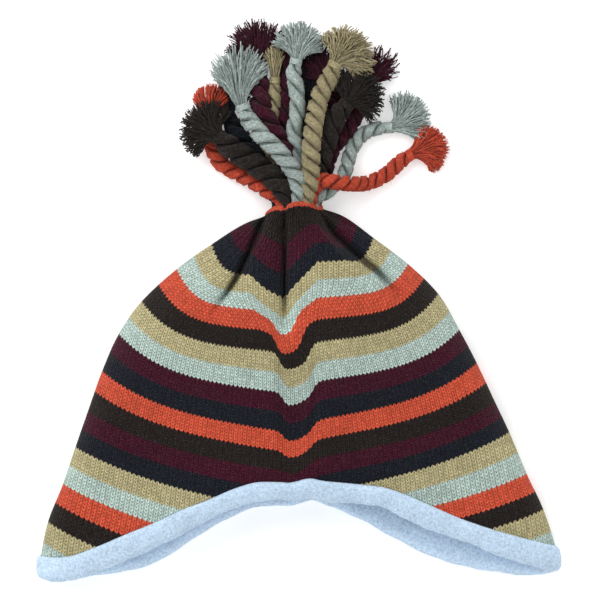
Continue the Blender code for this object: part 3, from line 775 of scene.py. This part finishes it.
def number_points(mesh, name, values):
    """Stores a map from one pair of numbers for each point."""
    number_corners(mesh, name, values[corner_points(mesh)])


def set_number(mesh, name, values):
    """Stores one number at each point, such as how light its strand is."""
    stored = mesh.attributes.new(name, "FLOAT", "POINT")
    stored.data.foreach_set("value", np.ascontiguousarray(values, dtype=np.float32))


def round_the_crown(front, share, course):
    """How far each point lies from the front's middle round its course, over the crown without its
    creases: more than nothing to the right and less to the left, up to the back's middle.  Also
    the length once round."""
    front, share, course = np.broadcast_arrays(front, share, np.maximum(course, 1.0))
    x, _ = plan(front, share, course)
    z = height(front, share, course, x, ())
    steps = np.hypot(np.roll(x, -1, axis=1) - x, np.roll(z, -1, axis=1) - z)
    run = np.cumsum(steps, axis=1) - steps
    once = np.broadcast_to(steps.sum(axis=1, keepdims=True), run.shape)
    middle = np.argmin(np.abs(share[0]) + ~front[0])
    run = run - run[:, middle:middle + 1]
    return np.where(front | (share > 0.0), run, run - once), once


def crease_side(points, course, crease, side):
    """Whether points lie beyond a crease, on its side away from the middle, where it is there."""
    first, last, first_x, last_x = crease[:4]
    line = first_x + (last_x - first_x) * (course - first) / (last - first)
    return (side * (points[:, 0] - line) > 0.0) & (course < EVEN_FROM_COURSE)


def wale_numbers(run, course, beyond_crease):
    """The number of a wale from how far round it lies.  On the even part the wales share the way
    from the middle to the fold.  Where the crown is gathered they keep their width: they are
    counted from the middle up to a crease, and from the fold beyond it, and the crease swallows
    the rest."""
    held = np.maximum(course, 1.0)
    wales = FOLD_WALES + FOLD_WALES_GROWTH * np.maximum(held - EVEN_FROM_COURSE, 0.0)
    half = 0.5 * (through(COURSES, 3, held) - through(COURSES, 1, held))
    gathered = smooth_step((EVEN_FROM_COURSE - held) / 3.0)
    pitch = half / wales
    middle_pitch = pitch + (GATHERED_PITCH_MIDDLE - pitch) * gathered
    side_pitch = pitch + (GATHERED_PITCH_SIDE - pitch) * gathered
    from_fold = np.sign(run) * (wales + (np.abs(run) - half) / side_pitch)
    return np.where(beyond_crease, from_fold, run / middle_pitch)


def stitch_map(mesh, points, run, once, course):
    """The knit's map of wales and rows, for each face corner.  A face goes by its most corners
    where it crosses a crease, and keeps to one side of the seam at the back's middle."""
    beyond = (crease_side(points, course, SHARP_CREASES[LEFT_CREASE], -1.0)
              | crease_side(points, course, SHARP_CREASES[RIGHT_CREASE], 1.0))
    corners = corner_points(mesh)
    face_of = np.repeat(np.arange(len(mesh.polygons)), [len(face.vertices) for face in mesh.polygons])
    votes = np.bincount(face_of, beyond[corners]) > 1.5
    least = np.full(len(mesh.polygons), np.inf)
    np.minimum.at(least, face_of, run[corners])
    over_seam = run[corners] - least[face_of] > 0.5 * once[corners]
    run = run[corners] - np.where(over_seam, once[corners], 0.0)
    wale = wale_numbers(run, course[corners], votes[face_of])
    return np.stack([wale, course[corners] * ROWS_A_STRIPE], axis=-1)


def knit_shell():
    """The knit as a closed wall: its fine outside from the neck to the end inside the binding, and
    a plainer inside that follows the part's own surface."""
    front, share = ring_of_shares(FRONT_STEPS, BACK_STEPS)
    seam, end = seam_course(front, share), wall_end(front, share)
    fraction = np.linspace(0.0, 1.0, CROWN_ROWS, endpoint=False)[:, None] ** CROWN_BUNCHING
    crown = NECK_TOP_COURSE + (seam - NECK_TOP_COURSE) * fraction
    wall = seam + (end - seam) * np.linspace(0.0, 1.0, WALL_ROWS)[:, None]
    course = np.concatenate([crown, wall])
    outside = skin(front, share, course, SHARP_CREASES, True)
    plain = skin(front, share, course, SOFT_CREASES)
    inset = plain - grid_normals(plain) * KNIT_THICK
    chosen = np.linspace(len(course) - 1, 2, INSIDE_ROWS).astype(int)
    grid = np.concatenate([outside, inset[chosen]])
    rows, ring = grid.shape[:2]
    pole = neck_ring(front, share, SHARP_CREASES)[1] + (0.0, NECK_RISE, 0.0)
    points = np.concatenate([grid.reshape(-1, 3), [pole, grid[-1].mean(axis=0)]])
    neck = fan(rows * ring, 0, ring)
    inner_end = fan(rows * ring + 1, (rows - 1) * ring, ring)[:, [0, 2, 1]]
    mesh = make_mesh("knit_shell", points, ring_faces(rows, ring), np.concatenate([neck, inner_end]))
    run, once, course = (np.append(np.concatenate([values, values[chosen]]), [0.0, 0.0])
                         for values in (*round_the_crown(front, share, course), course))
    number_corners(mesh, "stitches", stitch_map(mesh, points, run, once, course))
    on_front = np.append(np.tile(front, rows), [True, True])
    # Painted shade: the "fold" number darkens the knit's colour where a crease sinks deep
    sunk = crease_depth(SHARP_CREASES, points[:, 0], course) * on_front
    painted_shade = smooth_step((sunk - PAINTED_SHADE_FROM_DEPTH) / (PAINTED_SHADE_FULL_DEPTH - PAINTED_SHADE_FROM_DEPTH))
    set_number(mesh, "fold", 1.0 - PAINTED_CREASE_SHADE * painted_shade)
    return place("knit_shell_stitched", mesh, knit_material(), ["knit_shell"])


def fleece_piece(name, mesh, material, pile, tone, thickness, offset):
    """Fleece with its pile's map and how light it is drawn, which is painted light on the inside pieces,
    and a wall for its open surface.
    """
    number_points(mesh, "pile", pile)
    set_number(mesh, "tone", tone)
    piece = place(name + "_brushed", mesh, fleece_material(material), [name])
    wall = piece.modifiers.new("wall", "SOLIDIFY")
    wall.thickness = thickness * MM
    wall.offset = offset
    return piece


def fleece_lining():
    """The fleece inside the crown, an inset of the knit's surface from a little below the neck to
    the rim, which hangs freer near the neck and under the creases."""
    front, share = ring_of_shares(LINING_FRONT_STEPS, LINING_BACK_STEPS)
    fraction = np.linspace(LINING_FROM, 1.0, LINING_ROWS)[:, None]
    course = NECK_TOP_COURSE + (wall_end(front, share) - NECK_TOP_COURSE) * fraction
    deeper = tuple((*row[:4], LINING_DEEPER * row[4], LINING_DEEPER * row[5]) for row in SOFT_CREASES)
    outside = skin(front, share, course, deeper)
    spare = LINING_SPARE * (1.0 - smooth_step((course - 1.0) / EVEN_FROM_COURSE))
    inward = smooth_step(LINING_EDGE * (1.0 - np.abs(share)))
    spare = spare * (LINING_EDGE_SHARE + (1.0 - LINING_EDGE_SHARE) * inward)
    inset = outside - grid_normals(outside) * (KNIT_THICK + CLEARANCE + spare)[..., None]
    rows, ring = inset.shape[:2]
    pole = inset[0].mean(axis=0) + LINING_POLE
    points = np.concatenate([inset.reshape(-1, 3), pole[None]])
    mesh = make_mesh("fleece_lining", points, ring_faces(rows, ring), fan(rows * ring, 0, ring))
    along, across = PILE_STEP
    pile = np.stack([np.tile(np.arange(ring) * along, rows), (course * across).reshape(-1)], axis=-1)
    pile = np.concatenate([pile, [(0.0, 0.0)]])
    # Painted light: the whole lining is drawn lighter
    tone = np.full(len(points), INSIDE_PAINTED_LIGHTER)
    return fleece_piece("fleece_lining", mesh, "fleece_inside", pile, tone, LINING_THICK, -1.0)


def fleece_binding():
    """The band folded over the rim.  Its outer leg starts in a tight roll on the knit, swells to
    its full height and runs down to the hem; it turns under in a half circle and goes up inside as
    a plain leg.  Its cloth is a little uneven, by a sum of sine waves along and across it."""
    front, share = ring_of_shares(FRONT_STEPS, BACK_STEPS)
    seam, end = seam_course(front, share), wall_end(front, share)
    outer = np.concatenate([np.linspace(0.0, 0.2, 6, endpoint=False), np.linspace(0.2, 1.0, 11)])[:, None]
    outer_points = skin(front, share, seam + (end - seam) * outer, SOFT_CREASES)
    outer_normals = grid_normals(outer_points)
    upwards = np.linspace(0.0, 1.0, 14)[:, None]
    inner_course = end + (seam - INNER_LEG_COURSES - end) * upwards
    downwards = skin(front, share, inner_course[::-1], SOFT_CREASES)
    inner_points, inner_normals = downwards[::-1], grid_normals(downwards)[::-1]
    half_wall = 0.5 * (KNIT_THICK + CLEARANCE + LINING_THICK)
    leg = half_wall + CLEARANCE + 0.5 * BINDING_THICK
    roll = np.sqrt(1.0 - (1.0 - np.clip(outer / BAND_ROLL, 0.0, 1.0)) ** 2)
    middle_part = smooth_step(6.0 * (1.0 - np.abs(share)))
    full = BAND_FULL * np.sin(math.pi * (0.12 + 0.80 * outer)) ** 0.8 * middle_part
    swell = CLEARANCE + roll * (0.5 * BINDING_THICK + full)
    outside = outer_points + outer_normals * swell[..., None]
    inside = 2.0 * half_wall + INNER_LEG_CLEARANCE + 0.5 * BINDING_THICK
    last, normal = outer_points[-1], outer_normals[-1]
    along = np.roll(last, -1, axis=0) - np.roll(last, 1, axis=0)
    below = unit(np.cross(along, normal))
    middle = last - normal * half_wall + below * CLEARANCE
    reach = np.linalg.norm(outside[-1] - middle, axis=-1)[:, None]
    angle = np.radians(np.linspace(*BAND_TURN, BAND_TURN_ROWS))[:, None, None]
    radius = reach + (leg - reach) * angle / math.pi
    turn = middle + normal * radius * np.cos(angle) + below * (leg + 0.4) * np.sin(angle)
    path = np.concatenate([outside, turn, inner_points - inner_normals * inside])
    rows, ring = path.shape[:2]
    lengths = np.linalg.norm(np.diff(path[:, ring // 4], axis=0), axis=-1)
    across = np.concatenate([[0.0], np.cumsum(lengths)])
    rim = np.linalg.norm(np.roll(path[len(outer)], -1, axis=0) - path[len(outer)], axis=-1)
    along = np.concatenate([[0.0], np.cumsum(rim)[:-1]])
    uneven = sum(depth * np.sin(by_along * along[None] + by_across * across[:, None] + phase)
                 for by_along, by_across, phase, depth in BAND_WAVES)
    path = path + grid_normals(path) * (uneven * smooth_step(across / 4.0)[:, None])[..., None]
    path[..., 2] = np.maximum(path[..., 2], 0.5 * BINDING_THICK + 0.05)
    mesh = make_mesh("fleece_binding", path.reshape(-1, 3), ring_faces(rows, ring))
    pile = np.stack([np.tile(along, rows), np.repeat(across, ring)], axis=-1)
    # Painted light: the binding is drawn lighter as it turns under to its inner leg
    inward = smooth_step((np.arange(rows) - len(outer)) / len(turn))
    tone = np.repeat(1.0 + (INSIDE_PAINTED_LIGHTER - 1.0) * inward, ring)
    return fleece_piece("fleece_binding", mesh, "fleece_band", pile, tone, BINDING_THICK, 0.0)


def smooth_route(root, route, spacing):
    """Points along a cord and how far along it they lie: its straight root from inside the neck,
    then a curve through the route's own points, a cubic between each pair whose direction at a
    point is that between its neighbours."""
    x, z = root
    entry, leave = np.array([(x, ROOT_START, z), (x, ROOT_START + ROOT_STRAIGHT, z)])
    points = np.array([leave, *route], dtype=float)
    padded = np.vstack([entry, points, 2 * points[-1] - points[-2]])
    fine = []
    for before, start, end, after in zip(padded, padded[1:], padded[2:], padded[3:]):
        t = np.linspace(0.0, 1.0, 24, endpoint=False)[:, None]
        fine.append(0.5 * (2 * start + (end - before) * t
                           + (2 * before - 5 * start + 4 * end - after) * t ** 2
                           + (3 * start - before - 3 * end + after) * t ** 3))
    fine = np.vstack([entry, *fine, points[-1]])
    run = np.concatenate([[0.0], np.cumsum(np.linalg.norm(np.diff(fine, axis=0), axis=1))])
    stops = np.linspace(0.0, run[-1], max(8, round(run[-1] / spacing)))
    return np.stack([np.interp(stops, run, fine[:, axis]) for axis in range(3)], axis=1), stops


def frames(points, upright=(0.0, 0.0, 1.0)):
    """A side and an up direction along a line of points: the side is the line's direction cross
    the upright, and the up is square to both."""
    direction = unit(np.gradient(points, axis=-2))
    side = unit(np.cross(direction, upright))
    return side, np.cross(side, direction)


def tube_faces(lines, steps, sides):
    """The squares of tubes laid out as lines, steps and sides, and the fans that close their ends
    on the two points that follow them for each line."""
    line, step, side = np.meshgrid(np.arange(lines), np.arange(steps - 1), np.arange(sides), indexing="ij")
    after = (side + 1) % sides
    here = (line * steps + step) * sides
    quads = np.stack([here + side, here + after, here + sides + after, here + sides + side], axis=-1)
    line, side = np.meshgrid(np.arange(lines), np.arange(sides), indexing="ij")
    after = (side + 1) % sides
    start = line * steps * sides
    end = start + (steps - 1) * sides
    poles = lines * steps * sides + 2 * line
    fans = np.concatenate([np.stack([poles, start + after, start + side], axis=-1).reshape(-1, 3),
                           np.stack([poles + 1, end + side, end + after], axis=-1).reshape(-1, 3)])
    return quads.reshape(-1, 4), fans


def wool_mesh(name, groups):
    """A mesh of groups of tubes.  A group is its lines of points, their rings, how far along the
    yarn each ring lies, how wide one side is on the map, and how light the yarn is drawn: its own
    tone and painted shade."""
    points, quads, fans, maps, tones = [], [], [], [], []
    behind = 0
    for lines, rings, lengths, side_width, tone in groups:
        count, steps, sides = rings.shape[:3]
        for faces, some in zip((quads, fans), tube_faces(count, steps, sides)):
            faces.append(some + behind)
        behind += count * (steps * sides + 2)
        points += [rings.reshape(-1, 3), lines[:, [0, -1]].reshape(-1, 3)]
        round_it, along = np.broadcast_arrays(np.arange(sides) * side_width, lengths[..., None])
        maps += [np.stack([round_it, along], axis=-1).reshape(-1, 2), np.zeros((2 * count, 2))]
        tones += [np.broadcast_to(tone, (count, steps, sides)).reshape(-1),
                  np.full(2 * count, np.mean(tone))]
    mesh = make_mesh(name, np.concatenate(points), np.concatenate(quads), np.concatenate(fans))
    number_points(mesh, "strand", np.concatenate(maps))
    set_number(mesh, "tone", np.concatenate(tones))
    return mesh


def stray_fibres(lines, rings, random):
    """Short loose fibres that rise from the wool: each starts on a ply, runs on a slant between
    along the ply and round it, and bows outwards by part of a sine wave."""
    ply = random.integers(0, rings.shape[0], FIBRES)
    step = random.integers(2, rings.shape[1] - 3, FIBRES)
    side = random.integers(0, rings.shape[2], FIBRES)
    foot = rings[ply, step, side]
    out = unit(foot - lines[ply, step])
    ahead = unit(rings[ply, step + 2, side] - foot)
    way = ahead * random.choice([-1.0, 1.0], (FIBRES, 1))
    way = unit(way + np.cross(out, ahead) * random.uniform(-0.4, 0.4, (FIBRES, 1)))
    t = np.linspace(0.0, 1.0, 5)[None, :, None]
    long = FIBRE_LENGTH * (0.5 + random.random((FIBRES, 1, 1)))
    rise = FIBRE_RISE * random.random((FIBRES, 1, 1)) * np.sin(0.65 * math.pi * t)
    line = foot[:, None] + way[:, None] * long * t + out[:, None] * (rise - 0.05)
    line[..., 2] = np.maximum(line[..., 2], FIBRE_THICK + FLOOR_GAP)
    thin = np.broadcast_to(0.5 * FIBRE_THICK * (1.0 - 0.5 * t[..., 0]), line.shape[:2])
    fibre_rings = tube_rings(line, thin, np.cross(way, out)[:, None] + 0.3 * out[:, None], 3)
    tone = 0.75 + 0.7 * random.random((FIBRES, 1, 1))
    return line, fibre_rings, (long * t)[..., 0], 0.2, tone


def twisted_cord(name, yarn, width, root, route, twist, random):
    """Two plies laid round each other in an S twist.  A ply's middle runs round the cord's line at
    a quarter of its width, and its section is an oval, wider along the round, with eight soft
    ridges for its yarns.  The cord is thinner at its root and where it is tied at its end."""
    points, stops = smooth_route(root, route, ROUTE_SPACING)
    side, up = frames(points)
    length = stops[-1]
    tied = smooth_step((stops - length + TIED_LENGTH) / TIED_LENGTH)
    full = width * (1.0 - (1.0 - TIED) * tied)
    here = (ROOT_WIDTH + (full - ROOT_WIDTH) * smooth_step(stops / ROOT_LENGTH))[:, None]
    turn = math.tau * stops[:, None] / (twist * width)
    around = np.arange(PLY_SIDES) * math.tau / PLY_SIDES
    ridge = np.cos(PLY_YARNS * around - 1.1 * turn)
    lines, rings = [], []
    for ply in range(2):
        angle = turn + ply * math.pi + 0.5
        out = np.cos(angle) * side + np.sin(angle) * up
        sideways = np.cos(angle) * up - np.sin(angle) * side
        uneven = PLY_UNEVEN * np.sin(2.3 * stops[:, None] + 3.0 * around + ply)
        proud = here * (1.0 + YARN_PROUD * ridge + uneven)
        centre = points + PLY_OUT * here * out
        lines.append(centre)
        rings.append(centre[:, None] + (PLY_THICK * np.cos(around) * proud)[..., None] * out[:, None]
                     + (PLY_WIDE * np.sin(around) * proud)[..., None] * sideways[:, None])
    lines, rings = np.stack(lines), np.stack(rings)
    rings[..., 2] = np.maximum(rings[..., 2], FLOOR_GAP)
    # Painted light and shade: each ply lighter on its outside and on its yarns' ridges, darker where the
    # plies meet and in the grooves
    tone = 0.84 + 0.16 * np.cos(around) + 0.12 * ridge
    plies = (lines, rings, np.stack([stops, stops + 40.0]), 1.2, np.stack([tone, tone]))
    mesh = wool_mesh("cord_" + name, [plies, stray_fibres(lines, rings, random)])
    return place("cord_%s_twisted" % name, mesh, yarn, ["cord_" + name]), points, length


def tube_rings(line, radius, upright, sides):
    """The rings of tubes of a radius round lines of points."""
    by, above = frames(line, upright)
    around = np.arange(sides) * math.tau / sides
    return (line[..., None, :] + (radius[..., None] * np.cos(around))[..., None] * by[..., None, :]
            + (radius[..., None] * np.sin(around))[..., None] * above[..., None, :])


def tie(base, heading, side, up, width):
    """The yarn wound round a cord's tied end: a helix of a few turns, a little wider than the tied
    end."""
    t = np.linspace(0.0, 1.0, 20 * TIE_TURNS)[:, None]
    angle = math.tau * TIE_TURNS * t
    radius = TIED * 0.5 * width + TIE_PROUD
    return (base + TIE_LENGTH * (t - 0.6) * heading + radius * np.cos(angle) * side
            + radius * np.sin(angle) * up)


def frayed_end(name, yarn, width, fray, base, heading, random):
    """The loose strands of a cord's end.  Each leaves the tied end along the cord, turns at once to
    its own direction in the tuft's fan, waves more towards its tip and sinks a little towards the
    table.  Strands at the sides of the fan are shorter, by a share of their angle squared."""
    strands, first, last, reach, thick, uneven, wave = fray
    place_in_fan = 2.0 * random.random(strands) - 1.0
    angle = np.radians(0.5 * (first + last) + 0.5 * (last - first) * place_in_fan)
    over = 2.0 * random.random(strands) - 1.0
    side, up = (each[0] for each in frames(np.stack([base, base + heading])))
    rise = math.asin(min(0.9, 0.5 * thick / reach))
    aim = np.stack([np.sin(angle) * np.cos(rise * over), np.cos(angle) * np.cos(rise * over),
                    np.sin(rise * over)], axis=-1)
    run = reach * (1.0 - SIDES_SHORTER * place_in_fan ** 2) * (1.0 - uneven * random.random(strands) ** 0.7)
    spot = np.sqrt(random.random(strands))
    across, above = spot * place_in_fan, spot * over
    neck = TIED * 0.5 * width * 0.9
    off = neck * (across[:, None] * side + above[:, None] * up)
    start = base - heading * 2.0 + off
    bend = base + heading * 0.16 * reach + off
    far = base + aim * (0.60 * run)[:, None] + heading * 0.10 * reach
    end = base + aim * run[:, None]
    t = np.linspace(0.0, 1.0, STRAND_STEPS)[None, :, None]
    line = ((1 - t) ** 3 * start[:, None] + 3 * t * (1 - t) ** 2 * bend[:, None]
            + 3 * t ** 2 * (1 - t) * far[:, None] + t ** 3 * end[:, None])
    flat = t[..., 0]
    phase = random.random((strands, 2)) * math.tau
    speed = 1.0 + 1.4 * random.random((strands, 1))
    square = np.stack([np.cos(angle), -np.sin(angle), np.zeros(strands)], axis=-1)
    turns = math.tau * speed * flat
    line = line + (wave * flat * np.sin(turns + phase[:, :1]))[..., None] * square[:, None]
    line[..., 2] += wave * flat * np.sin(turns + phase[:, 1:])
    line[..., 2] *= 1.0 - STRAND_SINKS * flat ** 2
    thin = 0.5 * STRAND_THICK * (1.0 - 0.35 * flat) * (0.75 + 0.5 * random.random((strands, 1)))
    line[..., 2] = np.maximum(line[..., 2], thin + FLOOR_GAP)
    upright = np.cross(aim, random.normal(size=(strands, 3)))[:, None]
    rings = tube_rings(line, thin, upright, STRAND_SIDES)
    # Each strand's own lightness at random, times painted shade that darkens it towards the tied end
    tone = (0.66 + 0.55 * random.random((strands, 1, 1))) * (0.62 + 0.42 * t)
    lengths = run[:, None] * flat + 37.0 * np.arange(strands)[:, None]
    wound = tie(base, heading, side, up, width)[None]
    wound_rings = tube_rings(wound, np.full(wound.shape[:2], 0.5 * TIE_THICK), heading, TIE_SIDES)
    wound_lengths = 0.6 * np.arange(wound.shape[1])[None]
    mesh = wool_mesh("tuft_" + name, [(line, rings, lengths, 0.6, tone),
                                      (wound, wound_rings, wound_lengths, 0.4, 0.95)])
    return place("tuft_%s_frayed" % name, mesh, yarn, ["tuft_" + name])


def cords_and_tufts():
    """Every cord with its frayed end."""
    yarns = {name: yarn_material(name, colour) for name, colour in YARNS.items()}
    for seed, (name, width, twist, root, fray, route) in enumerate(CORDS):
        random = np.random.default_rng(seed)
        colour = name.split("_")[0]
        yarn, slot = yarns[colour], "yarn_" + colour
        cord, points, length = twisted_cord(name, yarn, width, root, route, twist, random)
        heading = unit(points[-1] - points[-4])
        base = points[-1] + heading * TUFT_GAP
        tuft = frayed_end(name, yarn, width, fray, base, heading, random)
        path = (points - BODY_MIDDLE) * MM
        stout = min(width, length / LEAST_WIDTHS)


def camera():
    """Straight above the photo's centre, its lens set by the width it has to see."""
    lens = bpy.data.cameras.new("camera")
    lens.sensor_width = SENSOR
    lens.lens = SENSOR * (CAMERA_HEIGHT - VIEW_CENTRE[2]) / VIEW_WIDTH
    eye = add("camera", lens)
    eye.location = (VIEW_CENTRE[0] * MM, VIEW_CENTRE[1] * MM, CAMERA_HEIGHT * MM)
    bpy.context.scene.camera = eye


def table_top():
    """A plain pale floor."""
    corners = np.array([(-1, -1, 0), (1, -1, 0), (1, 1, 0), (-1, 1, 0)]) * FLOOR_SIZE / MM
    mesh = make_mesh("table_top", corners + BODY_MIDDLE, np.array([[0, 1, 2, 3]]))
    material = bpy.data.materials.new("table_top")
    material.use_nodes = True
    set_inputs(material.node_tree.nodes["Principled BSDF"],
               {"Base Color": FLOOR_GREY, "Roughness": FLOOR_ROUGH,
                "Emission Color": WHITE, "Emission Strength": FLOOR_GLOW})
    mesh.materials.append(material)
    floor = add("table_top", mesh)


def lamp(name, place_at, size, power):
    """A square soft light that faces the hat."""
    light = bpy.data.lights.new(name, "AREA")
    light.size = size
    light.energy = power
    lit = add(name, light)
    lit.location = place_at
    toward = LAMP_AIM - np.array(place_at)
    flat = math.hypot(toward[0], toward[1])
    lit.rotation_euler = (math.atan2(flat, -toward[2]), 0.0, math.atan2(toward[1], toward[0]) - math.pi / 2)


def light():
    """Plain soft studio light: a pale surrounding, a broad lamp from the upper left and a weaker
    one from the right."""
    world = bpy.data.worlds.new("studio")
    world.use_nodes = True
    set_inputs(world.node_tree.nodes["Background"], {"Color": WHITE, "Strength": SKY})
    bpy.context.scene.world = world
    bpy.context.scene.view_settings.view_transform = "Standard"
    for row in LAMPS:
        lamp(*row)


camera()
cords_and_tufts()
knit = knit_shell()
lining = fleece_lining()
binding = fleece_binding()
light()
table_top()
